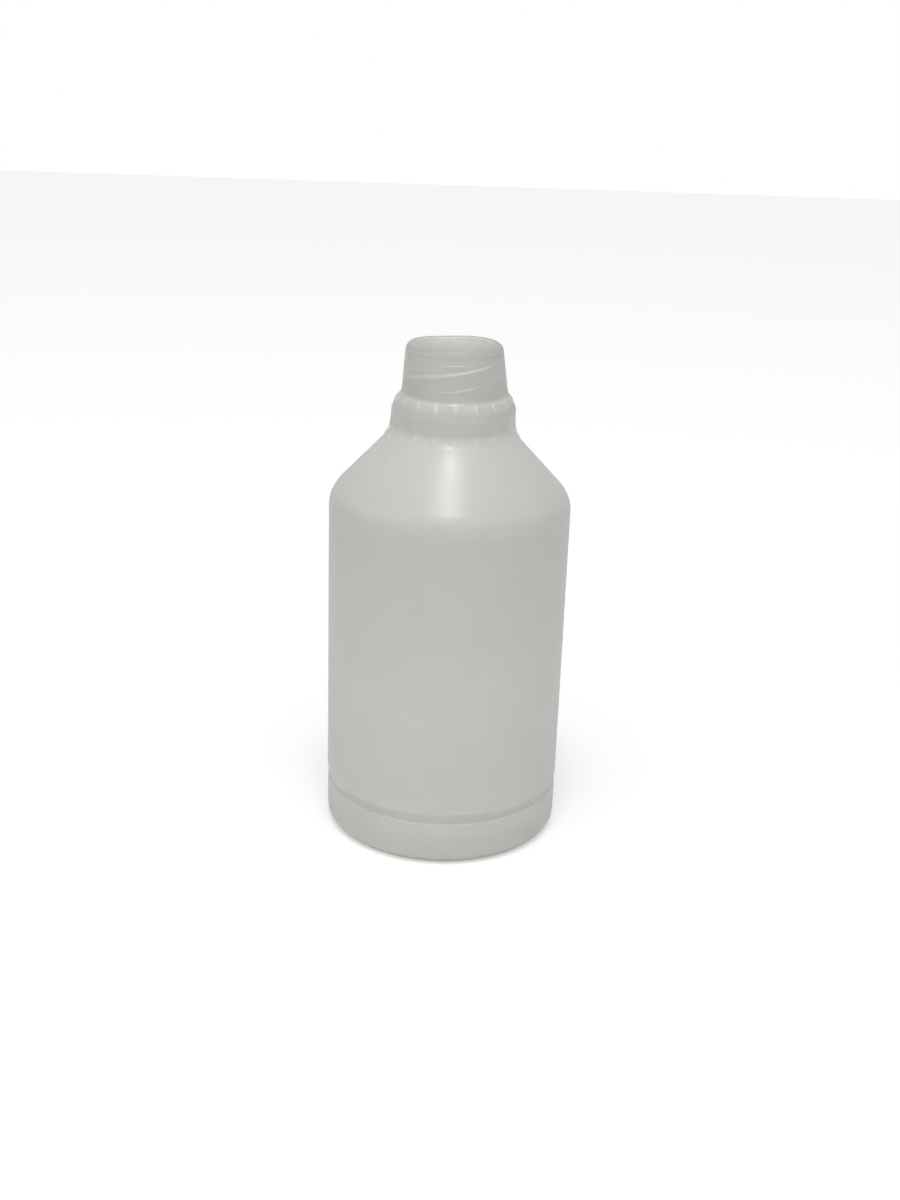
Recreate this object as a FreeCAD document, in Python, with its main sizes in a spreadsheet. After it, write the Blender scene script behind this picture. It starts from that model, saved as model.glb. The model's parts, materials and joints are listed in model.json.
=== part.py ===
"""A 250 ml bottle, extrusion blow-moulded in natural high-density polyethylene.

The bottle is one piece of plastic: a round body with a groove above its foot, a conical
shoulder, a fluted collar that keys the tamper band of a cap, and a tapered neck with a
three-start screw thread and an open mouth. Lengths are millimetres. The origin is the middle
of the foot, on the surface that the bottle stands on, and +Z runs up through the mouth.
"""

import FreeCAD, Part
import math
import os

import Sketcher
from FreeCAD import Placement, Vector

FLUTES = 18
THREAD_STARTS = 3

# Driving dimensions: radii are measured from the bottle's axis, heights from its foot.
DIMENSIONS = {
    # foot and body
    "foot": 0.0,
    "foot_band_radius": 30.35,
    "foot_rounding": 3.2,
    "body_radius": 30.5,
    "groove_height": 12.5,
    "groove_depth": 0.45,
    "groove_rounding": 1.7,
    # pushed-up bottom
    "stand_ring_radius": 24.6,
    "push_up_radius": 21.8,
    "push_up_edge_height": 2.2,
    "push_up_height": 3.0,
    "push_up_rounding": 2.5,
    "edge_rounding": 0.35,
    # shoulder
    "shoulder_height": 89.2,
    "shoulder_rounding": 7.0,
    # collar: a fluted column, turned down to a bead at its top
    "collar_base_height": 106.57,
    "collar_buried": 6.0,
    "collar_core_radius": 14.0,
    "collar_core_height": 114.3,
    "ridge_radius": 15.4,
    "ridge_azimuth": 3.0,
    "flute_radius": 6.1,
    "flute_bottom_radius": 14.55,
    "bead_top_radius": 14.0,
    "bead_top_height": 114.6,
    "bead_slope_radius": 14.93,
    "bead_slope_height": 112.8,
    "bead_tip_height": 110.8,
    "bead_underside_height": 110.0,
    "undercut_top_radius": 14.85,
    "undercut_top_height": 108.6,
    "undercut_foot_radius": 15.0,
    "undercut_foot_height": 107.0,
    "ridge_foot_height": 105.3,
    "trim_clearance": 2.0,
    # neck, lip and mouth
    "neck_base_radius": 12.85,
    "neck_base_height": 116.0,
    "neck_top_radius": 11.72,
    "rim_height": 127.3,
    "lip_rounding": 2.2,
    "mouth_radius": 9.1,
    # screw thread: one ridge, repeated for each start
    "thread_lead": 12.2,
    "thread_turns": 0.556,
    "thread_start_height": 116.7,
    "thread_root_radius": 12.4,
    "thread_crest_radius": 13.2,
    "thread_half_base": 1.0,
    "thread_half_crest": 0.35,
    # walls
    "wall": 0.9,
    "bottom_wall": 1.3,
    "inner_foot_rounding": 2.4,
    "rib_half_height": 1.5,
    "rib_half_crest": 0.6,
    "inner_shoulder_height": 88.77,
    "inner_shoulder_rounding": 6.6,
    "inner_collar_radius": 12.7,
    "inner_collar_foot_height": 106.56,
    "inner_collar_top_height": 110.6,
    "bore_foot_height": 114.8,
}


def number(formula):
    """The value of a formula such as "body_radius - wall": names added and taken away."""
    total, sign = 0.0, 1.0
    for word in formula.split():
        if word in ("+", "-"):
            sign = 1.0 if word == "+" else -1.0
        else:
            total += sign * DIMENSIONS[word]
    return total


def in_sheet(formula):
    """The same formula with each name pointing at its cell of the spreadsheet."""
    return " ".join(w if w in ("+", "-") else "dimensions." + w for w in formula.split())


def make_sheet(document):
    """The spreadsheet of driving dimensions: a name, and its plain number under that alias."""
    sheet = document.addObject("Spreadsheet::Sheet", "dimensions")
    for row, (name, size) in enumerate(DIMENSIONS.items(), start=1):
        sheet.set("A%d" % row, name)
        sheet.set("B%d" % row, str(size))
        sheet.setAlias("B%d" % row, name)
    document.recompute()


def origin_feature(body, role):
    """One of the body's own origin planes or axes."""
    return next(part for part in body.Origin.OriginFeatures if part.Role == role)


def new_sketch(body, name, role):
    """An empty sketch on one of the body's own origin planes."""
    sketch = body.newObject("Sketcher::SketchObject", name)
    sketch.AttachmentSupport = [(origin_feature(body, role), "")]
    sketch.MapMode = "FlatFace"
    return sketch


def dimension(sketch, name, formula, kind, *where):
    """Adds a named dimension to a sketch and binds it to the spreadsheet."""
    index = sketch.addConstraint(Sketcher.Constraint(kind, *where, number(formula)))
    sketch.renameConstraint(index, name)
    sketch.setExpression("Constraints." + name, in_sheet(formula))


def rounded_corner(before, corner, after, size):
    """The arc of a given radius that rounds the corner between two straight lines."""
    towards = [(end - corner).normalize() for end in (before, after)]
    half = towards[0].getAngle(towards[1]) / 2
    start, end = (corner + way * (size / math.tan(half)) for way in towards)
    centre = corner + (towards[0] + towards[1]).normalize() * (size / math.sin(half))
    middle = centre + (corner - centre).normalize() * size
    return start, end, Part.Arc(start, middle, end)


def draw_profile(sketch, corners):
    """A closed profile through corners of (radius, height, rounding), each given as a formula.

    Straight lines join the corners. A corner with a rounding becomes an arc tangent to both
    of its lines, and the sharp corner stays as a point that carries the two dimensions. A
    corner with no radius is on the bottle's axis.
    """
    count = len(corners)
    points = [Vector(number(r) if r else 0.0, number(z), 0) for r, z, _ in corners]
    starts, ends, arcs = list(points), list(points), {}
    for i, (_, _, rounding) in enumerate(corners):
        if rounding:
            after = points[(i + 1) % count]
            ends[i], starts[i], arcs[i] = rounded_corner(points[i - 1], points[i], after, number(rounding))
    lines = []
    for i in range(count):
        line = Part.LineSegment(starts[i], ends[(i + 1) % count])
        lines.append(sketch.addGeometry(line))

    for i, (radius, height, rounding) in enumerate(corners):
        corner = lines[i]
        if rounding:
            arc = sketch.addGeometry(arcs[i])
            begins_here = sketch.getPoint(arc, 1).distanceToPoint(ends[i]) < 1e-6
            first, last = (1, 2) if begins_here else (2, 1)
            sketch.addConstraint(Sketcher.Constraint("Tangent", lines[i - 1], 2, arc, first))
            sketch.addConstraint(Sketcher.Constraint("Tangent", arc, last, lines[i], 1))
            dimension(sketch, "rounding_%d" % i, rounding, "Radius", arc)
            corner = sketch.addGeometry(Part.Point(points[i]), True)
            sketch.addConstraint(Sketcher.Constraint("PointOnObject", corner, 1, lines[i - 1]))
            sketch.addConstraint(Sketcher.Constraint("PointOnObject", corner, 1, lines[i]))
        else:
            sketch.addConstraint(Sketcher.Constraint("Coincident", lines[i - 1], 2, lines[i], 1))
        if radius:
            dimension(sketch, "radius_%d" % i, radius, "DistanceX", -1, 1, corner, 1)
        else:
            sketch.addConstraint(Sketcher.Constraint("PointOnObject", corner, 1, -2))
        dimension(sketch, "height_%d" % i, height, "DistanceY", -1, 1, corner, 1)


def turn(body, kind, name, corners):
    """Revolves a profile about the bottle's axis, as added or removed material."""
    sketch = new_sketch(body, name + "_section", "XZ_Plane")
    draw_profile(sketch, corners)
    return revolve(body, kind, name, sketch)


def revolve(body, kind, name, sketch):
    """One whole turn of a sketch about the bottle's axis; it has to change the volume."""
    before = body.Shape.Volume
    feature = body.newObject("PartDesign::" + kind, name)
    feature.Profile = sketch
    feature.ReferenceAxis = (sketch, ["V_Axis"])
    feature.Angle = 360
    body.Document.recompute()
    change = body.Shape.Volume - before
    if (change < 0) != (kind == "Groove"):
        raise RuntimeError("%s changed the volume by %.1f mm3" % (name, change))
    return feature


def span_collar(sketch, feature):
    """Starts a collar feature inside the shoulder and ends it at the foot of the neck."""
    sketch.setExpression("AttachmentOffset.Base.z", in_sheet("collar_base_height - collar_buried"))
    feature.setExpression("Length", in_sheet("neck_base_height - collar_base_height + collar_buried"))


def repeat_round(body, feature, name, count):
    """Repeats a feature evenly round the bottle's axis."""
    around = body.newObject("PartDesign::PolarPattern", name)
    around.Originals = [feature]
    around.Axis = (origin_feature(body, "Z_Axis"), [""])
    around.Angle = 360
    around.Occurrences = count
    body.Tip = around
    body.Document.recompute()


def add_collar(body):
    """The fluted column of the collar: a plain disc with concave flutes cut down its side."""
    sketch = new_sketch(body, "collar_outline", "XY_Plane")
    disc = sketch.addGeometry(Part.Circle(Vector(), Vector(0, 0, 1), number("ridge_radius")))
    sketch.addConstraint(Sketcher.Constraint("Coincident", disc, 3, -1, 1))
    dimension(sketch, "ridge", "ridge_radius", "Radius", disc)
    collar = body.newObject("PartDesign::Pad", "collar")
    collar.Profile = sketch
    span_collar(sketch, collar)
    body.Document.recompute()

    # One flute is a round cutter beside the disc, midway between two ridges. Azimuths count
    # from -Y towards +X.
    whole = body.Shape.Volume
    outline = new_sketch(body, "flute_outline", "XY_Plane")
    angle = math.radians(number("ridge_azimuth") + 180 / FLUTES - 90)
    centre = Vector(math.cos(angle), math.sin(angle), 0) * number("flute_bottom_radius + flute_radius")
    cutter = outline.addGeometry(Part.Circle(centre, Vector(0, 0, 1), number("flute_radius")))
    spoke = outline.addGeometry(Part.LineSegment(Vector(), centre), True)
    outline.addConstraint(Sketcher.Constraint("Coincident", spoke, 1, -1, 1))
    outline.addConstraint(Sketcher.Constraint("Coincident", spoke, 2, cutter, 3))
    outline.addConstraint(Sketcher.Constraint("Angle", spoke, angle))
    dimension(outline, "reach", "flute_bottom_radius + flute_radius", "Distance", spoke)
    dimension(outline, "size", "flute_radius", "Radius", cutter)
    flute = body.newObject("PartDesign::Pocket", "flute")
    flute.Profile = outline
    flute.Reversed = True
    span_collar(outline, flute)
    body.Document.recompute()
    if body.Shape.Volume >= whole:
        raise RuntimeError("the flute cuts nothing")
    repeat_round(body, flute, "flutes", FLUTES)


def add_outside(body):
    """The solid outside: pushed-up bottom, foot, body, shoulder, collar core, neck and lip."""
    turn(body, "Revolution", "outside", [
        (None, "push_up_height", None),
        ("push_up_radius", "push_up_edge_height", "push_up_rounding"),
        ("stand_ring_radius", "foot", "edge_rounding"),
        ("foot_band_radius", "foot", "foot_rounding"),
        ("foot_band_radius", "groove_height", None),
        ("body_radius", "groove_height", None),
        ("body_radius", "shoulder_height", "shoulder_rounding"),
        ("collar_core_radius", "collar_base_height", None),
        ("collar_core_radius", "collar_core_height", None),
        ("neck_base_radius", "neck_base_height", None),
        ("neck_top_radius", "rim_height", "lip_rounding"),
        (None, "rim_height", None),
    ])


def shape_bead(body):
    """Turns the fluted column down to the bead: a sloped top, a tip and an undercut."""
    turn(body, "Groove", "bead_slope", [
        ("neck_base_radius", "neck_base_height", None),
        ("bead_top_radius", "bead_top_height", None),
        ("bead_slope_radius", "bead_slope_height", None),
        ("ridge_radius", "bead_tip_height", None),
        ("ridge_radius + trim_clearance", "bead_tip_height", None),
        ("ridge_radius + trim_clearance", "neck_base_height", None),
    ])
    turn(body, "Groove", "undercut", [
        ("ridge_radius + trim_clearance", "bead_underside_height", None),
        ("ridge_radius", "bead_underside_height", None),
        ("undercut_top_radius", "undercut_top_height", None),
        ("undercut_foot_radius", "undercut_foot_height", None),
        ("ridge_radius", "ridge_foot_height", None),
        ("ridge_radius + trim_clearance", "ridge_foot_height", None),
    ])


def cut_groove(body):
    """The shallow groove round the body above the foot band, cut with a round section."""
    sketch = new_sketch(body, "groove_section", "XZ_Plane")
    reach = "body_radius + groove_rounding - groove_depth"
    centre = Vector(number(reach), number("groove_height"), 0)
    circle = sketch.addGeometry(Part.Circle(centre, Vector(0, 0, 1), number("groove_rounding")))
    dimension(sketch, "size", "groove_rounding", "Radius", circle)
    dimension(sketch, "reach", reach, "DistanceX", -1, 1, circle, 3)
    dimension(sketch, "height", "groove_height", "DistanceY", -1, 1, circle, 3)
    revolve(body, "Groove", "groove", sketch)


def add_thread(body):
    """One low ridge on a helix that follows the neck's taper, repeated for each start."""
    sketch = new_sketch(body, "thread_section", "XZ_Plane")
    draw_profile(sketch, [
        ("thread_root_radius", "thread_start_height - thread_half_base", None),
        ("thread_crest_radius", "thread_start_height - thread_half_crest", None),
        ("thread_crest_radius", "thread_start_height + thread_half_crest", None),
        ("thread_root_radius", "thread_start_height + thread_half_base", None),
    ])
    ridge = body.newObject("PartDesign::AdditiveHelix", "thread")
    ridge.Profile = sketch
    ridge.ReferenceAxis = (sketch, ["V_Axis"])
    ridge.Mode = "pitch-turns-angle"
    ridge.setExpression("Pitch", in_sheet("thread_lead"))
    ridge.setExpression("Turns", in_sheet("thread_turns"))
    narrowing = "(%s)" % in_sheet("neck_top_radius - neck_base_radius")
    rise = "(%s)" % in_sheet("rim_height - neck_base_height")
    ridge.setExpression("Angle", "atan(%s / %s)" % (narrowing, rise))
    body.Document.recompute()
    repeat_round(body, ridge, "threads", THREAD_STARTS)


def cut_cavity(body):
    """The hollow: bottom, foot, the groove's rib, body, shoulder, collar, bore and mouth."""
    turn(body, "Groove", "cavity", [
        (None, "push_up_height + bottom_wall", None),
        ("push_up_radius", "push_up_edge_height + bottom_wall", "push_up_rounding"),
        ("stand_ring_radius", "bottom_wall", "edge_rounding"),
        ("foot_band_radius - wall", "bottom_wall", "inner_foot_rounding"),
        ("body_radius - wall", "groove_height - rib_half_height", None),
        ("body_radius - wall - groove_depth", "groove_height - rib_half_crest", None),
        ("body_radius - wall - groove_depth", "groove_height + rib_half_crest", None),
        ("body_radius - wall", "groove_height + rib_half_height", None),
        ("body_radius - wall", "inner_shoulder_height", "inner_shoulder_rounding"),
        ("inner_collar_radius", "inner_collar_foot_height", None),
        ("inner_collar_radius", "inner_collar_top_height", None),
        ("mouth_radius", "bore_foot_height", None),
        ("mouth_radius", "rim_height", None),
        (None, "rim_height", None),
    ])


def check(document, body):
    """Stops unless every object is up to date and the bottle is one sound solid."""
    for part in document.Objects:
        if "Invalid" in part.State or "Error" in part.State:
            raise RuntimeError("%s failed: %s" % (part.Name, part.State))
    shape = body.Shape
    if shape.isNull() or not shape.isValid() or len(shape.Solids) != 1:
        raise RuntimeError("the bottle is not one valid solid")


def main():
    document = FreeCAD.newDocument("blow_moulded_bottle")
    make_sheet(document)
    body = document.addObject("PartDesign::Body", "bottle")
    body.Label = "bottle"
    body.Placement = Placement()
    document.recompute()
    add_collar(body)
    add_outside(body)
    shape_bead(body)
    cut_groove(body)
    add_thread(body)
    solid_volume = body.Shape.Volume
    cut_cavity(body)
    document.recompute()
    check(document, body)

    os.makedirs("parts", exist_ok=True)
    body.Shape.exportStep("parts/%s.step" % body.Label)
    box = body.Shape.optimalBoundingBox()
    print("bottle: %.1f x %.1f x %.1f mm" % (box.XLength, box.YLength, box.ZLength))
    plastic = body.Shape.Volume
    print("plastic %.1f cm3, brimful %.0f ml" % (plastic / 1000, (solid_volume - plastic) / 1000))


main()
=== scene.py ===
# %% [markdown]
# # A natural polyethylene bottle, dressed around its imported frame
# The object is one hollow piece of plastic, blown inside a two-part mould and kept without its
# cap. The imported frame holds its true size. This lesson builds the skin that is looked at: a
# single closed surface with an outside, a lip and an inside, worked out as one numpy grid, and
# a milky plastic that lets a little light in. A bottle is nearly a turned shape, so each row of
# the grid is a place on its outline and each column is a direction around the axis. Flutes,
# thread and seams then push single points of that grid in or out.

import json
import math

import bpy
import numpy as np
from mathutils import Matrix, Vector


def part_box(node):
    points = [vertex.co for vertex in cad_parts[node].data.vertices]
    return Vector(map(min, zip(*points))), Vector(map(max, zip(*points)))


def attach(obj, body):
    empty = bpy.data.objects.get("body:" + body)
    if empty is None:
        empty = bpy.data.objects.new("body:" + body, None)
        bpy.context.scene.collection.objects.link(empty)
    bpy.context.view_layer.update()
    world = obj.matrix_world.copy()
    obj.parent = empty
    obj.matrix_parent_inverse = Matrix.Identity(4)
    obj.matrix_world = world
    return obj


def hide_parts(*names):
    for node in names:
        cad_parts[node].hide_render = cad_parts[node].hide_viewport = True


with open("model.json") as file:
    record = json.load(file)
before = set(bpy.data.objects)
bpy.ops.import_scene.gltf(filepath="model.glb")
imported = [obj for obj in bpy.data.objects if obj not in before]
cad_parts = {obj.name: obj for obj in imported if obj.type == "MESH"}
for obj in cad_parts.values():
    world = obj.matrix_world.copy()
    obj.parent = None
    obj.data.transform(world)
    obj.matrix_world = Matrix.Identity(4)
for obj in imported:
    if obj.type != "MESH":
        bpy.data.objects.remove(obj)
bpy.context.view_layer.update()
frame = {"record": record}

# %% [markdown]
# The frame is in metres, but moulders think in millimetres, so every shape below is written in
# millimetres and scaled once, when it becomes a mesh. The sizes that drive the rest, the body's
# radius and the full height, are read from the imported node, and the mouth's radius from the
# record, so that the skin can't drift away from the frame. The body keeps a hair's breadth
# inside the frame's box, which leaves room for the parting line to stand proud.

# %% Driving sizes, in millimetres
MM = 0.001
SEAM_ROOM = 0.06
WALL = 0.9
low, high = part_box("bottle")
BODY = min(high.x, high.y, -low.x, -low.y) / MM - SEAM_ROOM
RIM = high.z / MM
mounts = {mount["name"]: mount for mount in frame["record"]["mounts"]}
MOUTH = mounts["mouth"]["dims"]["r_mm"]
print(f"body radius {BODY:.2f}, rim height {RIM:.2f}, mouth radius {MOUTH:.2f}")


# %% [markdown]
# An outline is a short list of corners, each with its radius from the axis, its height and how
# much it is rounded. A rounding is an arc that touches both straight runs. A spline through the
# same points would be shorter to write, but it ripples on the flat runs, and a moulded bottle is
# made of straight runs and arcs. Long runs are divided, so that light and seams have rows.

# %% One rounded corner
def corner_arc(before, corner, after, rounding, steps):
    """Points on the arc that touches the runs before-corner and corner-after.

    It starts rounding * tan(half the turn) before the corner. Its centre lies one rounding to
    the inside of the turn, and a spoke from the centre swings through the turn in even steps.
    """
    arriving = (corner - before) / np.linalg.norm(corner - before)
    leaving = (after - corner) / np.linalg.norm(after - corner)
    turn = math.atan2(arriving[0] * leaving[1] - arriving[1] * leaving[0], arriving @ leaving)
    spoke = math.copysign(rounding, turn) * np.array([arriving[1], -arriving[0]])
    centre = corner - arriving * rounding * math.tan(abs(turn) / 2) - spoke
    swing = np.linspace(0, turn, steps)
    x = spoke[0] * np.cos(swing) - spoke[1] * np.sin(swing)
    y = spoke[0] * np.sin(swing) + spoke[1] * np.cos(swing)
    return centre + np.column_stack([x, y])


quarter = corner_arc(*np.array([(0.0, 0.0), (2.0, 0.0), (2.0, 2.0)]), 1.0, 3)
print("a corner at (2, 0), rounded by 1:", quarter.round(2).tolist())


# %% A whole outline
def outline_through(corners, arc_steps=8, longest=4.0):
    """The outline through corners (radius, height, rounding), as rows of radius and height.

    Rounded corners become arcs. Then each run longer than longest is cut into even steps.
    """
    points = np.array([corner[:2] for corner in corners], float)
    pieces = [points[:1]]
    for index in range(1, len(corners) - 1):
        rounding = corners[index][2]
        if rounding:
            pieces.append(corner_arc(*points[index - 1 : index + 2], rounding, arc_steps))
        else:
            pieces.append(points[index : index + 1])
    points = np.concatenate([*pieces, points[-1:]])
    counts = np.ceil(np.linalg.norm(np.diff(points, axis=0), axis=1) / longest)
    counts = np.maximum(counts, 1).astype(int)
    start = np.repeat(np.arange(len(counts)), counts)
    passed = np.repeat(np.cumsum(counts) - counts, counts)
    share = (np.arange(counts.sum()) - passed) / counts[start]
    cut = points[start] + share[:, None] * (points[start + 1] - points[start])
    return np.vstack([cut, points[-1:]])


straight = outline_through([(1, 0, 0), (1, 10, 0)])
print("a run of 10 mm is cut at heights", straight[:, 1].round(2).tolist())


# %% [markdown]
# The two mould halves meet in a plane through the axis, at the bottle's sides. There the plastic
# stands proud in a hair-thin line, so the directions of the grid are one degree apart and closer
# beside that line. Directions count from the front, -Y, towards +X.

# %% Directions around the axis
PARTING = np.array([90.0, 270.0])
BESIDE_PARTING = np.array([-2.5, -1.5, -0.6, -0.3, 0.3, 0.6, 1.5, 2.5])
SEAM_HEIGHT = 0.05
SEAM_WIDTH = 0.35


def bell(distance, width):
    """A smooth bump: e to the power of minus the square of distance over width."""
    return np.exp(-((distance / width) ** 2))


beside = (PARTING[:, None] + BESIDE_PARTING).ravel()
azimuth = np.sort(np.concatenate([np.arange(0.0, 360.0), beside]))
from_parting = np.abs((azimuth % 180.0) - 90.0)
seam_line = SEAM_HEIGHT * bell(from_parting, SEAM_WIDTH)
print("directions:", len(azimuth), " seam stands proud by", seam_line.max(), "mm")


# %% [markdown]
# The outside starts in the middle of the bottom, which is pushed up so that the bottle stands on
# a ring. Where the mould pinched the hot tube shut there is a low, ragged rib right across, in
# the parting plane. The rib could be a piece of its own, but it is the same plastic, so the
# bottom's grid is pushed down there by a bell-shaped ridge whose height wavers.

# %% Bottom and pinched rib
FOOT = BODY - 0.12
FOOT_TOP = 9.4
RIB_HEIGHT = 0.45
RIB_WIDTH = 0.55
RIB_LENGTH = 15.5


def turned(outline, seam=0.0):
    """An outline spun round the axis: grids of radius and height, one column per direction."""
    radius = outline[:, :1] + np.zeros(len(azimuth)) + seam
    height = outline[:, 1:] + np.zeros(len(azimuth))
    return radius, height


bottom = outline_through(
    [(0.4, 3.0, 0), (21.8, 2.2, 2.5), (24.6, 0.0, 0.9), (FOOT, 0.0, 3.4), (FOOT, FOOT_TOP, 0)],
    arc_steps=6,
    longest=2.4,
)
bottom_radius, bottom_height = turned(bottom)
across = bottom_radius * np.cos(np.radians(azimuth))
along = bottom_radius * np.sin(np.radians(azimuth))
ragged = 1 + 0.25 * np.sin(along * 1.9) + 0.15 * np.sin(along * 4.3 + 1.0)
rib = RIB_HEIGHT * ragged * bell(across, RIB_WIDTH) * bell(along, RIB_LENGTH) ** 3
bottom_height -= rib
print("bottom rows:", len(bottom), " rib height:", round(float(rib.max()), 2), "mm")

# %% [markdown]
# Above the rounded foot comes a groove, which stiffens the wall and marks where a label's place
# ends. Its upper side draws in slowly and its lower side steps out quickly, so it shows as a
# dark band over a thin bright line. Two tiny corners, a few hundredths of a millimetre
# deep, are enough for that line, because a glossy skin shows the smallest change of slope.

# %% Groove
BODY_START = 17.0
groove = outline_through(
    [
        (FOOT, FOOT_TOP, 0),
        (FOOT, 10.05, 0.2),
        (FOOT - 0.07, 10.2, 0.2),
        (FOOT - 0.05, 11.35, 0.3),
        (BODY - 0.46, 11.75, 0.5),
        (BODY - 0.44, 12.5, 1.6),
        (BODY, 14.6, 1.4),
        (BODY, BODY_START, 0),
    ],
    arc_steps=4,
    longest=0.5,
)
print("groove rows:", len(groove), " depth:", round(float(BODY - groove[:, 0].min()), 2), "mm")

# %% [markdown]
# The body is straight and the shoulder is a cone. Its slope sets where the lamp shines in it, so
# it is worked out from the place where the cone meets the collar. A cone also carries the
# collar's foot later on, which is why its radius is a small function of the height.

# %% Body and shoulder
CONE_SLOPE = 0.95
SHOULDER_HEIGHT = 89.25
SHOULDER_ROUNDING = 9.0
COLLAR_START = 104.0


def cone_radius(height):
    """The shoulder's radius: it shrinks in step with the height above the shoulder's corner."""
    return BODY - CONE_SLOPE * (height - SHOULDER_HEIGHT)


body = outline_through(
    [
        (BODY, BODY_START, 0),
        (BODY, SHOULDER_HEIGHT, SHOULDER_ROUNDING),
        (cone_radius(COLLAR_START), COLLAR_START, 0),
    ],
    arc_steps=11,
    longest=5.5,
)
print("body rows:", len(body), " cone ends at radius", round(float(body[-1, 0]), 2), "mm")

# %% [markdown]
# The collar keys the tamper band of a cap. It is a turned column with a bead on top, and 18
# scallops are pressed into it: soft waves at its foot, almost nothing at the waist, and flat
# floors between narrow ridges on the bead's sloped top. Cutting 18 grooves with real booleans
# would leave ragged triangles. Here the radius is the turned outline minus a depth that depends
# on the direction and the height, so that one short table says how the scallops come and go.

# %% Scallops
SCALLOPS = 18
HALF_SCALLOP = 180.0 / SCALLOPS
RIDGE_AZIMUTH = 3.0
RIDGE_ROUNDING = 0.1
SCALLOP_HEIGHTS = [104.6, 105.6, 106.6, 107.6, 111.2, 112.0, 112.6, 113.1, 113.8, 114.5, 115.0]
SCALLOP_DEPTHS = [0.62, 0.58, 0.30, 0.10, 0.04, 0.06, 0.21, 0.38, 0.28, 0.13, 0.00]
SCALLOP_POWERS = [2.2, 2.2, 2.0, 2.0, 2.0, 4.0, 12.0, 20.0, 20.0, 20.0, 20.0]


def ridge_distance(direction):
    """The share of the way from a ridge, 0, to the middle of a scallop, 1."""
    from_middle = (direction - RIDGE_AZIMUTH) % (2 * HALF_SCALLOP) - HALF_SCALLOP
    return 1 - np.abs(from_middle) / HALF_SCALLOP


def scallop_depth(direction, height):
    """How deep the scallops lie under the turned bead, in millimetres.

    Across a scallop, the share of the way from its middle to the ridge is raised to a power,
    and the depth is what that leaves of 1. A high power makes a flat floor between narrow
    ridges, and a power of 2 makes a soft wave. Depth and power change with the height. The
    distance from the ridge is bent into a hyperbola first, which rounds the crest.
    """
    rounded = np.hypot(ridge_distance(direction), RIDGE_ROUNDING) - RIDGE_ROUNDING
    across = 1 - rounded / (np.hypot(1, RIDGE_ROUNDING) - RIDGE_ROUNDING)
    depth = np.interp(height, SCALLOP_HEIGHTS, SCALLOP_DEPTHS)
    power = np.interp(height, SCALLOP_HEIGHTS, SCALLOP_POWERS)
    return depth * (1 - across**power)


deepest = scallop_depth(RIDGE_AZIMUTH + HALF_SCALLOP, np.array([104.6, 113.1]))
print("scallops at the collar's foot and on the bead:", deepest, "mm deep")

# %% [markdown]
# The collar, the cone and the neck are each a radius by height, and the bottle shows the outer
# one. Blown plastic never fills a sharp corner, so a softened maximum picks the outer radius and
# rounds the crease between two of them. Bevels on a finished mesh could do it too, but they
# would have to find the creases first.

# %% Softened joins
def soft_max(a, b, band):
    """The higher of a and b, its crease raised by a parabola where they differ by under band."""
    near = np.maximum(band - np.abs(a - b), 0) / band
    return np.maximum(a, b) + near**2 * band / 4


def smooth(value):
    """0 below 0, 1 above 1, and an even S between them."""
    value = np.clip(value, 0, 1)
    return value * value * (3 - 2 * value)


print("two walls at radius 15, joined within 0.4 mm:", round(float(soft_max(15.0, 15.0, 0.4)), 2))

# %% [markdown]
# The bead is the collar's turned outline: up the column, over the widest place and down a cone
# to the neck. In the parting plane a thin fin fills the undercut and runs out on the shoulder,
# because the two halves of the mould could not slide off it otherwise.

# %% Bead and fin
FIN_HEIGHTS = [104.0, 104.6, 105.4, 106.1, 106.9, 107.6, 110.2, 110.8]
FIN_RADII = [16.90, 16.45, 16.02, 15.75, 15.56, 15.46, 15.25, 10.0]
FIN_HALF_WIDTH = 1.0
FIN_FADE = 3.0
FIN_FALL = 1.2
FIN_BAND = 0.2
bead = outline_through(
    [
        (15.35, 103.2, 0),
        (15.2, 106.6, 1.2),
        (15.1, 108.2, 2.0),
        (15.3, 109.6, 1.2),
        (15.4, 110.8, 1.6),
        (14.95, 112.5, 1.2),
        (14.80, 113.1, 0.8),
        (13.68, 114.5, 0.5),
        (13.25, 114.85, 0.5),
        (12.95, 115.7, 0.9),
        (12.3, 117.0, 0.2),
        (11.0, 117.5, 0),
    ]
)


def collar_radius(height):
    """The collar for a column of heights: bead minus scallops, or the fin where it is wider.

    Near the parting plane the fin has its full radius. Then it falls away, in an even S, to
    less than the collar's.
    """
    scalloped = np.interp(height, bead[:, 1], bead[:, 0]) - scallop_depth(azimuth, height)
    fallen = FIN_FALL * smooth((from_parting - FIN_HALF_WIDTH) / FIN_FADE)
    fin = np.interp(height, FIN_HEIGHTS, FIN_RADII) - fallen
    return soft_max(scalloped, fin, FIN_BAND)


widest = collar_radius(np.array([[110.8]])).max()
print("bead rows:", len(bead), " collar's widest radius:", round(float(widest), 2), "mm")

# %% [markdown]
# The neck carries a right-handed thread with three starts, steep and low, each a little over
# half a turn long. A ridge swept along a helix would be a piece of its own, with a seam to
# weld. As a height that is added to the neck it melts into the wall, as blown plastic does. Its
# section is half a cosine wave, steeper above than below. Height and width fade at both ends,
# so that the ridge runs out to a point, and it is slack in the middle, where it flattens and
# widens. It also flattens beside the parting plane, where the two halves slide off it.

# %% Thread
STARTS = 3
LEAD = 12.2
THREAD_END = 56.0
THREAD_END_HEIGHT = 123.55
THREAD_SWEEP = 205.0
RIDGE_ABOVE = 0.42
RIDGE_BELOW = 0.7
RIDGE_HEIGHT = 0.26
FADE_AT_END = 22.0
FADE_AT_START = 50.0
SLACK_BACK = 100.0
SLACK_SPAN = 45.0
SLACK_WIDER = 0.9
SLACK_LOWER = 0.6
LOW_BACK = 140.0
LOW_SPAN = 24.0
LOW_LOWER = 0.85


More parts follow.
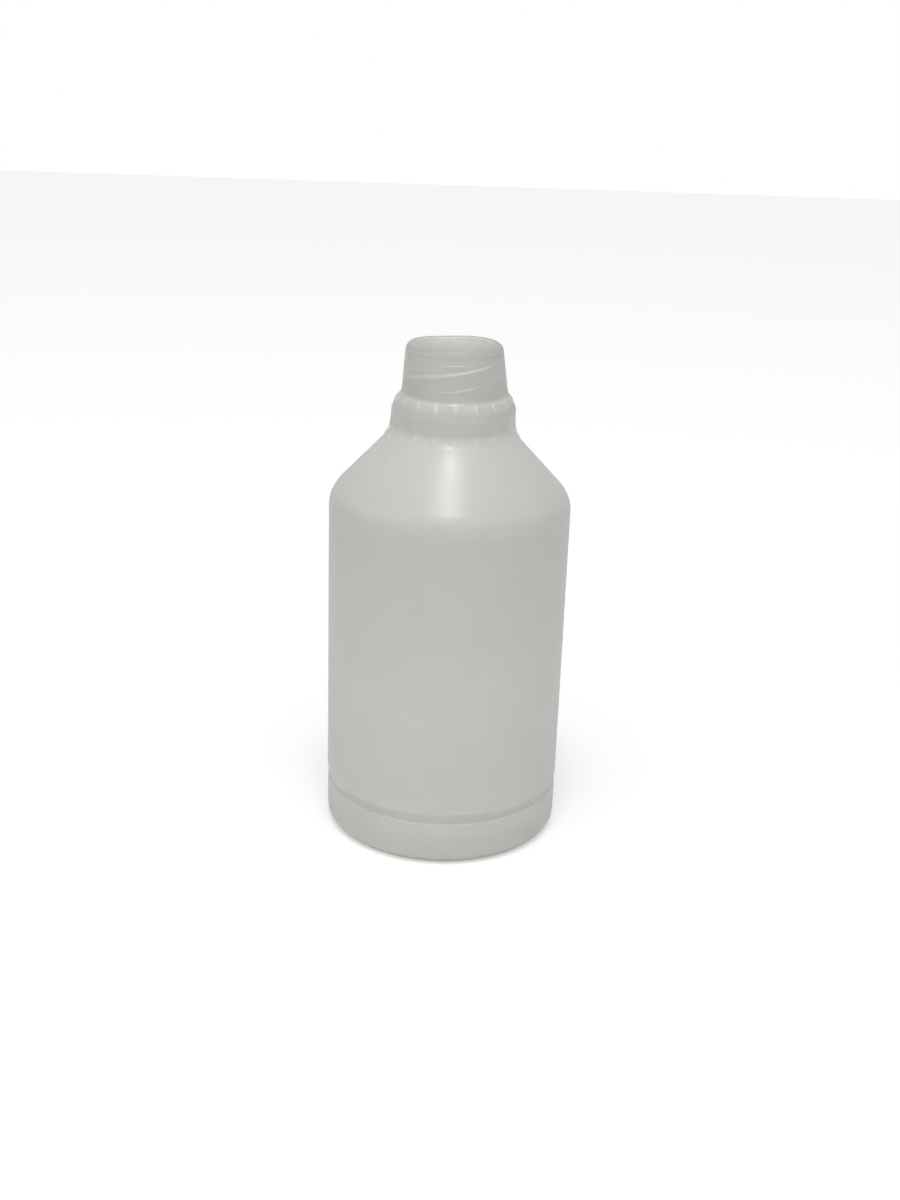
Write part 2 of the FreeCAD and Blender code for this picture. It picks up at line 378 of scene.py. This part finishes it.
def thread_height(direction, height):
    """How far the thread stands off the neck, in millimetres.

    Each start is a line that falls by the lead in a turn, counted back from its end. The ridge
    is a raised cosine across that line and 0 outside it. One bell along the line makes it slack,
    which is wider and lower, and another bell behind it makes it lower still.
    """
    total = np.zeros(np.broadcast(direction, height).shape)
    for start in range(STARTS):
        back = (THREAD_END - 360.0 / STARTS * start - direction) % 360.0
        line = THREAD_END_HEIGHT - LEAD * back / 360.0
        fade = smooth(back / FADE_AT_END) * smooth((THREAD_SWEEP - back) / FADE_AT_START)
        slack = bell(back - SLACK_BACK, SLACK_SPAN)
        low = bell(back - LOW_BACK, LOW_SPAN)
        width = np.where(height > line, RIDGE_ABOVE, RIDGE_BELOW) * (1 + SLACK_WIDER * slack)
        wave = np.clip(np.abs(height - line) / (width * np.sqrt(np.maximum(fade, 1e-6))), 0, 1)
        crest = fade * RIDGE_HEIGHT * (1 - SLACK_LOWER * slack) * (1 - LOW_LOWER * low)
        total = np.maximum(total, crest * (1 + np.cos(np.pi * wave)) / 2)
    return total


tried = thread_height(azimuth, np.arange(115.0, 125.0, 0.1)[:, None])
print("thread stands off by", round(float(tried.max()), 2), "mm")

# %% [markdown]
# Below the thread the neck is a plain taper. Above the thread lies one short, faint ledge, a mark
# of the mould. And the neck isn't quite true: it stands up to 0.4 mm off to the side where it
# leaves the bead, so a table by height moves the rings sideways by that much.

# %% Bare neck, short mark and lean
NECK_BASE = (12.93, 116.0)
NECK_TOP = (11.72, RIM)
MARK_TOP = 123.75
MARK_HEIGHT = 0.14
MARK_AZIMUTH = 4.0
MARK_WIDTH = 12.0
MARK_TALL = 1.3
MARK_SWELL = 1.1
MARK_EDGE = 0.14
LEAN_HEIGHTS = [104.0, 110.0, 112.5, 114.2, 116.0, 121.0, 124.5]
LEAN_SHIFTS = [0.0, 0.15, 0.30, 0.42, 0.28, 0.11, 0.0]


def neck_radius(height):
    """The bare neck: a straight taper."""
    return np.interp(height, [NECK_BASE[1], NECK_TOP[1]], [NECK_BASE[0], NECK_TOP[0]])


def short_mark(direction, height):
    """A faint short ledge above the thread: it swells slowly upwards and ends in a sharp edge."""
    off = (direction - MARK_AZIMUTH + 180.0) % 360.0 - 180.0
    rise = smooth((height - MARK_TOP + MARK_TALL) / MARK_SWELL)
    rise = rise * smooth((MARK_TOP - height) / MARK_EDGE)
    return MARK_HEIGHT * rise * bell(off, MARK_WIDTH)


def lean(direction, height):
    """How much further out the leaning neck stands: the shift times the sine of the direction."""
    return np.interp(height, LEAN_HEIGHTS, LEAN_SHIFTS) * np.sin(np.radians(direction))


print("neck radius below and above:", NECK_BASE[0], NECK_TOP[0], "mm; lean", max(LEAN_SHIFTS), "mm")

# %% [markdown]
# Now the top gets its rows. They lie closest where the shape changes fastest: at the collar's
# foot, on the bead's slope, along the thread and under the short mark. Even rows of the finest
# step would do the same, but there would be more than three times as many.

# %% Collar and neck as one stretch
LIP_START = 124.9
FOOT_BAND = 1.3
NECK_BAND = 0.35
GAP_WIDTH = 13.0
GAP_LOWER = 0.8
rows = np.concatenate(
    [
        np.arange(COLLAR_START, 108.0, 0.25),
        np.arange(108.0, 112.5, 0.45),
        np.arange(112.5, 115.4, 0.16),
        np.arange(115.4, 117.0, 0.25),
        np.arange(117.0, 123.5, 0.13),
        np.arange(123.5, 123.85, 0.05),
        np.arange(124.0, LIP_START, 0.2),
        [LIP_START],
    ]
)
rows = np.unique(rows.round(3))[1:, None]
thread = thread_height(azimuth, rows) * (1 - GAP_LOWER * bell(from_parting, GAP_WIDTH))
neck = neck_radius(rows) + thread + short_mark(azimuth, rows)
top_radius = soft_max(cone_radius(rows), collar_radius(rows), FOOT_BAND)
top_radius = soft_max(top_radius, neck, NECK_BAND) + lean(azimuth, rows)
top_height = rows + np.zeros(len(azimuth))
print("collar and neck rows:", len(rows))

# %% [markdown]
# The lip is rounded outside and eased inside. From there the inside follows the outside one wall
# thickness deeper: bore, the hollow behind the collar, shoulder, body, the back of the groove
# and the pushed-up bottom. The inside shows only through the mouth, but it has to be there,
# because light travels through the wall and because the mesh is a result in its own right. A
# solidify modifier would fold over itself at the thread, so the inside is an outline too.

# %% Lip and inside
INSIDE = BODY - WALL
BORE_START = RIM - 1.5
LIP_ROUND = 1.9
LIP_EASED = 0.68
lip = outline_through(
    [
        (float(neck_radius(LIP_START)), LIP_START, 0),
        (NECK_TOP[0], RIM, LIP_ROUND),
        (MOUTH, RIM, LIP_EASED),
        (MOUTH, BORE_START, 0),
    ]
)
hollow = outline_through(
    [
        (MOUTH, BORE_START, 0),
        (MOUTH, 116.2, 0.8),
        (12.7, 111.6, 0.8),
        (12.7, 106.6, 0.8),
        (INSIDE, 88.8, 6.6),
        (INSIDE, 15.2, 1.0),
        (INSIDE - 0.8, 12.8, 1.0),
        (INSIDE - 0.7, 10.6, 1.0),
        (FOOT - 1.5, 1.3, 2.4),
        (24.6, 1.3, 1.0),
        (21.8, 3.5, 2.0),
        (0.4, 4.3, 0),
    ],
    arc_steps=3,
    longest=12.0,
)
print("lip rows:", len(lip) - 1, " inside rows:", len(hollow) - 1)


# %% [markdown]
# All stretches are now stacked into one grid. Two things keep it from looking machined. Blown
# plastic sinks a little as it cools, so the straight wall draws in by a few hundredths of a
# millimetre in slow waves. And the lip was trimmed by a blade that didn't run quite level, so
# it dips a little at the back.

# %% Stack the stretches
SINK = 0.06
SINK_END = 90.0
SINK_FADE = 6.0
DIP = 0.42
DIP_AZIMUTH = 195.0
DIP_WIDTH = 40.0


def slow_waves(direction, height):
    """Sinks of the wall: three slow waves round and up, scaled to lie between 0 and 1."""
    a = np.radians(direction)
    waves = np.sin(2 * a + 0.6 + height / 31) + np.sin(3 * a - height / 17)
    return (3 + waves + np.sin(height / 12 + a)) / 6


outside = [
    (bottom_radius, bottom_height),
    turned(groove[1:], seam_line),
    turned(body[1:], seam_line),
    (top_radius + seam_line, top_height),
]
stretches = [*outside, turned(lip[1:]), turned(hollow[1:])]
radius = np.concatenate([stretch[0] for stretch in stretches])
height = np.concatenate([stretch[1] for stretch in stretches])
sunk = smooth((height - BODY_START) / SINK_FADE) * smooth((SINK_END - height) / SINK_FADE)
radius -= SINK * sunk * slow_waves(azimuth, height)
height = np.maximum(height, 0)
lip_share = smooth((height - LIP_START) / (RIM - LIP_START))
dip = DIP * bell(azimuth - DIP_AZIMUTH, DIP_WIDTH) * lip_share
count, around = radius.shape
print("rows:", count, " columns:", around, " lip dips by", round(float(dip.max()), 2), "mm")

# %% [markdown]
# The grid becomes a mesh. Neighbouring columns share their points, and the last column joins the
# first, so there is no seam to weld. The first ring and the last ring are closed with a fan of
# triangles to a point on the axis. Each face lists its corners so that its normal points out of
# the plastic.

# %% One closed skin
def place(radius, height):
    """Grids of radius and height as points in metres, one row of points after another."""
    a = np.radians(azimuth)
    grid = np.stack([radius * np.sin(a), -radius * np.cos(a), height], axis=-1)
    return grid.reshape(-1, 3) * MM


ends = np.array([[0, 0, bottom[0, 1]], [0, 0, hollow[-1, 1]]]) * MM
vertices = np.vstack([place(radius, height - dip), ends])
ring = np.arange(around)
next_ring = np.roll(ring, -1)
first = (np.arange(count - 1) * around)[:, None]
corners = [first + ring, first + next_ring, first + around + next_ring, first + around + ring]
quads = np.stack(corners, axis=-1).reshape(-1, 4)
last = (count - 1) * around
bottom_fan = np.column_stack([np.full(around, count * around), next_ring, ring])
inside_fan = np.column_stack([last + ring, last + next_ring, np.full(around, count * around + 1)])
faces = quads.tolist() + bottom_fan.tolist() + inside_fan.tolist()

mesh = bpy.data.meshes.new("bottle_skin")
mesh.from_pydata(vertices.tolist(), [], faces)
mesh.polygons.foreach_set("use_smooth", np.ones(len(mesh.polygons), bool))
mesh.update()
skin = bpy.data.objects.new("bottle_skin", mesh)
bpy.context.scene.collection.objects.link(skin)
print("triangles:", 2 * len(quads) + 2 * around)

# %% [markdown]
# Natural plastic looks greyer where it is thick, because less light comes through from behind,
# and here that light is painted into the colour as a greyness by height: at the foot, in the
# groove, on the shoulder's corner and most of all at the solid neck and lip. The same table adds
# painted shade in the groove and on the shoulder's corner, paints the body a little lighter low
# down, and paints a highlight along the bead's top edge. The ridges on the bead and the thread get
# painted highlights, lighter lines. In the mouth the painted light is read by the depth below the
# rim, and deeper inside is painted almost white, standing in for light that bounces there many
# times. It could be a texture, but a value on each point needs no image.

# %% Painted light and shade by height
# Painted light and shade: greyness from the light tint, 0, to the dark one, 1, by height.
PAINTED_SHADE_HEIGHTS = [
    0, 6, 9.4, 11.8, 12.6, 13.6, 15, 42, 60, 80, 84, 88, 94, 101, 106, 107.5, 109, 112, 114,
    114.6, 115.5, 119, 123, 124.5, 126.6, 127.25,
]
PAINTED_SHADE_SHARES = [
    0.69, 0.64, 0.6, 0.63, 0.59, 0.61, 0.46, 0.39, 0.46, 0.51, 0.5, 0.58, 0.47, 0.42, 0.44,
    0.65, 0.62, 0.75, 0.62, 0.57, 0.73, 0.73, 0.7, 0.72, 0.86, 0.82,
]
# Painted highlights: lighter lines on the bead's ridges and along the thread's crest.
RIDGE_PAINTED_HIGHLIGHT = 0.12
THREAD_PAINTED_HIGHLIGHT = 0.15
# Painted light in the mouth, lighter with the depth below the rim, and painted almost white deep
# inside.
BORE_DEPTHS = [0, 0.7, 1.5, 2.5]
BORE_PAINTED_LIGHT = [0.68, 0.48, 0.24, 0]
HIDDEN_PAINTED_LIGHT = 0.03
SLOPE_START = 112.7
SLOPE_END = 114.8
SLOPE_FADE = 0.4

on_slope = smooth((height - SLOPE_START) / SLOPE_FADE)
on_slope = on_slope * smooth((SLOPE_END - height) / SLOPE_FADE)
# Painted light and shade by height, then painted highlights on the bead's ridges and the thread.
grey = np.interp(height, PAINTED_SHADE_HEIGHTS, PAINTED_SHADE_SHARES)
grey -= RIDGE_PAINTED_HIGHLIGHT * (1 - ridge_distance(azimuth)) ** 8 * on_slope
grey -= THREAD_PAINTED_HIGHLIGHT * thread_height(azimuth, height) / RIDGE_HEIGHT
print("greyness outside: from", round(float(grey.min()), 2), "to", round(float(grey.max()), 2))

# %% Painted light inside, stored on the points
BORE_EASE = 0.35
outer_rows = sum(len(stretch[0]) for stretch in outside)
row = np.arange(count)[:, None]
hidden = row >= outer_rows + len(lip) - 1
bore = (row >= outer_rows) & (radius < MOUTH + BORE_EASE) & (height > COLLAR_START)
# Deep inside is painted almost white and the bore lighter with depth: painted light for light
# bouncing in there.
grey = np.where(hidden, HIDDEN_PAINTED_LIGHT, grey)
grey = np.where(bore, np.interp(RIM - height, BORE_DEPTHS, BORE_PAINTED_LIGHT), grey)
grey = np.clip(grey, 0, 1)
in_the_bore = np.where(bore | hidden, 1.0, 0.0)
for name, values in (("grey", grey), ("inside", in_the_bore)):
    attribute = mesh.attributes.new(name, "FLOAT", "POINT")
    attribute.data.foreach_set("value", np.append(values.ravel(), [values[0, 0], values[-1, 0]]))
print("rows outside:", outer_rows, " points in the bore:", int(bore.sum()))

# %% [markdown]
# The plastic is polyethylene with no pigment. It is milky: light enters, scatters a few
# millimetres and comes out again, so edges and hollows look soft. That is subsurface
# scattering, and its numbers are the same all over, so they sit on the shader's own sockets.
# Carrying light right through the wall would need glass-like rays and far more samples, so the
# stored greyness stands for it below.

# %% Natural polyethylene
SCATTER_LENGTH = 0.005
plastic = bpy.data.materials.new("natural_polyethylene")
plastic.use_nodes = True
shader = plastic.node_tree.nodes["Principled BSDF"]
shader.inputs["IOR"].default_value = 1.5
shader.inputs["Subsurface Weight"].default_value = 1.0
shader.inputs["Subsurface Radius"].default_value = (1.0, 1.0, 1.0)
shader.inputs["Subsurface Scale"].default_value = SCATTER_LENGTH
print("light scatters over", SCATTER_LENGTH / MM, "mm")


# %% [markdown]
# What changes over the surface is worked out by a tree of nodes, here and again for the floor
# and the world. Wiring them one by one is long to read, so four helpers do the repeated part: a
# new node, a socket that is linked or set, a mix of two values, and a change of range.

# %% Helpers for nodes
def node(tree, kind, **settings):
    """A new node in the tree, with the given properties and input values."""
    made = tree.nodes.new(kind)
    for name, value in settings.items():
        if hasattr(made, name):
            setattr(made, name, value)
        else:
            feed(tree, made.inputs[name.replace("_", " ")], value)
    return made


def feed(tree, socket, value):
    """Link the socket to another socket, or set it to a plain value."""
    if isinstance(value, bpy.types.NodeSocket):
        tree.links.new(value, socket)
    else:
        socket.default_value = value


def mix(tree, share, nothing, full, colours=False):
    """The output of a Mix node: nothing where the share is 0, full where it is 1."""
    made = node(tree, "ShaderNodeMix", data_type="RGBA" if colours else "FLOAT")
    a, b, result = (6, 7, 2) if colours else (2, 3, 0)
    for index, value in ((0, share), (a, nothing), (b, full)):
        feed(tree, made.inputs[index], value)
    return made.outputs[result]


def spread(tree, value, **ends):
    """The output of a Map Range node, which maps the value from one range to another."""
    return node(tree, "ShaderNodeMapRange", Value=value, **ends).outputs["Result"]


print("helpers:", ", ".join(helper.__name__ for helper in (node, feed, mix, spread)))

# %% [markdown]
# The colour goes from a light tint to a dark one by the stored painted shading, clouded a little by
# a slow noise, because the wall is never equally thick. Inside, light bounces many times and
# picks up the plastic's warm tint, so there the light tint is painted a shade cooler to cancel it.

# %% Tint
LIGHT_TINT = (0.92, 0.9016, 0.8556, 1)
# Inside, the light tint is painted cooler, against the warm cast of bounced light.
LIGHT_INSIDE = (0.92, 0.912, 0.888, 1)
DARK_TINT = (0.30, 0.294, 0.279, 1)
CLOUD = 0.04
CLOUD_SCALE = 70.0
tree = plastic.node_tree
where = node(tree, "ShaderNodeTexCoord").outputs["Object"]
inside = node(tree, "ShaderNodeAttribute", attribute_name="inside").outputs["Fac"]
# The stored painted light and shade.
stored = node(tree, "ShaderNodeAttribute", attribute_name="grey").outputs["Fac"]
uneven = node(tree, "ShaderNodeTexNoise", Vector=where, Scale=CLOUD_SCALE, Detail=2.0)
uneven = uneven.outputs["Fac"]
cloud = spread(tree, uneven, To_Min=-CLOUD, To_Max=CLOUD)
clouded = node(tree, "ShaderNodeMath", operation="ADD", use_clamp=True)
feed(tree, clouded.inputs[0], stored)
feed(tree, clouded.inputs[1], cloud)
light = mix(tree, inside, LIGHT_TINT, LIGHT_INSIDE, colours=True)
tint = mix(tree, clouded.outputs[0], light, DARK_TINT, colours=True)
feed(tree, shader.inputs["Base Color"], tint)
print("nodes for the tint:", len(tree.nodes))

# %% [markdown]
# The blown body is satin, because its mould was sandblasted. The collar and the neck were formed
# against polished steel and are glossier, and the trimmed lip is dull. Which of them a
# point belongs to is read from its height in Object coordinates. The same slow noise varies
# the body's gloss, and a very fine noise gives the mould's grain as a bump, too small to model.

# %% Gloss and grain
BODY_GLOSS = (0.26, 0.34)
NECK_GLOSS = 0.13
LIP_GLOSS = 0.36
NECK_EDGE = (0.104, 0.107)
LIP_EDGE = (0.1250, 0.1258)
GRAIN_SCALE = 2600.0
GRAIN_DEPTH = 0.0002
up = node(tree, "ShaderNodeSeparateXYZ", Vector=where).outputs["Z"]
on_neck = spread(tree, up, From_Min=NECK_EDGE[0], From_Max=NECK_EDGE[1])
on_lip = spread(tree, up, From_Min=LIP_EDGE[0], From_Max=LIP_EDGE[1])
satin = spread(tree, uneven, To_Min=BODY_GLOSS[0], To_Max=BODY_GLOSS[1])
gloss = mix(tree, on_lip, mix(tree, on_neck, satin, NECK_GLOSS), LIP_GLOSS)
feed(tree, shader.inputs["Roughness"], gloss)
grain = node(tree, "ShaderNodeTexNoise", Vector=where, Scale=GRAIN_SCALE, Detail=2.0)
relief = node(tree, "ShaderNodeBump", Strength=0.15, Distance=GRAIN_DEPTH)
feed(tree, relief.inputs["Height"], grain.outputs["Fac"])
feed(tree, shader.inputs["Normal"], relief.outputs["Normal"])
print("plastic nodes:", len(tree.nodes))

# %% Hand the skin over
skin.data.materials.append(plastic)
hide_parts("bottle")
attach(skin, "root")
print("piece:", skin.name, " material:", plastic.name)

# %% [markdown]
# The bottle stands on a pale floor. Seen by the camera the floor glows just enough to be white,
# which Light Path's camera ray decides, so that no extra light falls on the bottle. A brighter
# floor colour would do that too, but it would light the bottle from below.

# %% Floor
FLOOR_HALF = 2.0
FLOOR_COLOUR = (0.8, 0.8, 0.8, 1)
FLOOR_GLOW = 0.3
floor_mesh = bpy.data.meshes.new("floor")
corners = [(x * FLOOR_HALF, y * FLOOR_HALF, 0) for x, y in ((-1, -1), (1, -1), (1, 1), (-1, 1))]
floor_mesh.from_pydata(corners, [], [(0, 1, 2, 3)])
floor = bpy.data.objects.new("floor", floor_mesh)
bpy.context.scene.collection.objects.link(floor)

paper = bpy.data.materials.new("pale_floor")
paper.use_nodes = True
tree = paper.node_tree
seen = node(tree, "ShaderNodeLightPath").outputs["Is Camera Ray"]
face = tree.nodes["Principled BSDF"]
face.inputs["Base Color"].default_value = FLOOR_COLOUR
face.inputs["Roughness"].default_value = 0.9
face.inputs["Emission Color"].default_value = (1, 1, 1, 1)
feed(tree, face.inputs["Emission Strength"], mix(tree, seen, 0.0, FLOOR_GLOW))
floor.data.materials.append(paper)
print("floor:", 2 * FLOOR_HALF, "m wide")

# %% [markdown]
# The world gives a plain level of light from all round and slowly more from the front, as a
# window or a white wall does. A bare lamp in place of that gradient would cast hard shadows
# into the scallops. The camera sees the world white. Reflections see a part of that white, or
# the glossy neck would look darker than the room.

# %% World
AMBIENT = 0.42
FRONTAL = 0.93
FRONT = (-0.097, -0.922, 0.375)
REFLECTED_WHITE = 0.45
world = bpy.data.worlds.new("soft_studio")
bpy.context.scene.world = world
world.use_nodes = True
tree = world.node_tree
sky = tree.nodes["Background"]
ray = node(tree, "ShaderNodeLightPath").outputs
toward_where = node(tree, "ShaderNodeTexCoord").outputs["Generated"]
facing = node(tree, "ShaderNodeVectorMath", operation="DOT_PRODUCT")
feed(tree, facing.inputs[0], toward_where)
feed(tree, facing.inputs[1], FRONT)
soft = spread(tree, facing.outputs["Value"], To_Min=AMBIENT, To_Max=AMBIENT + FRONTAL)


def maths(operation, a, b):
    """The output of a Math node in the world's tree."""
    made = node(tree, "ShaderNodeMath", operation=operation)
    feed(tree, made.inputs[0], a)
    feed(tree, made.inputs[1], b)
    return made.outputs[0]


mirrored = maths("MULTIPLY", ray["Is Glossy Ray"], REFLECTED_WHITE)
see_through = maths("MAXIMUM", mirrored, ray["Is Transmission Ray"])
white = maths("MAXIMUM", ray["Is Camera Ray"], see_through)
feed(tree, sky.inputs["Strength"], mix(tree, white, soft, 1.0))
sky.inputs["Color"].default_value = (1, 1, 1, 1)
print("world strength: from", AMBIENT, "behind to", AMBIENT + FRONTAL, "in front")

# %% [markdown]
# One large round lamp hangs high in front. Its reflection makes the soft bright patch on the
# shoulder and the thin lines on the thread and the bead. A smaller lamp would make them harder,
# a larger one would wash them out.

# %% Lamp
LAMP_DISTANCE = 1.2
LAMP_ELEVATION = math.radians(70.0)
LAMP_AZIMUTH = math.radians(-1.5)
LAMP_SIZE = 0.34
LAMP_ENERGY = 3.5
AIM = Vector((0, 0, 0.095))
level = math.cos(LAMP_ELEVATION)
toward = Vector(
    (math.sin(LAMP_AZIMUTH) * level, -math.cos(LAMP_AZIMUTH) * level, math.sin(LAMP_ELEVATION))
)
lamp_data = bpy.data.lights.new("high_front_lamp", "AREA")
lamp_data.shape = "DISK"
lamp_data.size = LAMP_SIZE
lamp_data.energy = LAMP_ENERGY
lamp = bpy.data.objects.new("high_front_lamp", lamp_data)
lamp.location = AIM + toward * LAMP_DISTANCE
lamp.rotation_euler = (-toward).to_track_quat("-Z", "Y").to_euler()
bpy.context.scene.collection.objects.link(lamp)
print("lamp at", [round(value, 3) for value in lamp.location], "m")

# %% [markdown]
# The camera stands in front, a little above the mouth, and looks down by 20 degrees. It is held
# about two degrees off level, so its axes are built from turn, tilt and roll. The view transform
# is Standard, so that a colour comes out as it is written.

# %% Camera
CAMERA_PLACE = (0, -0.36323, 0.19371)
TURN = 0.00232
TILT = 0.35148
ROLL = -0.03325
LENS = 45.0
SENSOR = 36.0
ahead = Vector(
    (math.sin(TURN) * math.cos(TILT), math.cos(TURN) * math.cos(TILT), -math.sin(TILT))
)
right = Vector((math.cos(TURN), -math.sin(TURN), 0))
down = ahead.cross(right)
camera_x = right * math.cos(ROLL) + down * math.sin(ROLL)
camera_y = right * math.sin(ROLL) - down * math.cos(ROLL)
facing_axes = Matrix((camera_x, camera_y, -ahead)).transposed().to_4x4()
camera_data = bpy.data.cameras.new("camera")
camera_data.lens = LENS
camera_data.sensor_width = SENSOR
camera = bpy.data.objects.new("camera", camera_data)
camera.matrix_world = Matrix.Translation(CAMERA_PLACE) @ facing_axes
bpy.context.scene.collection.objects.link(camera)
bpy.context.scene.camera = camera
bpy.context.scene.view_settings.view_transform = "Standard"
print("camera at", CAMERA_PLACE, "m, looking down by", round(math.degrees(TILT), 1), "degrees")
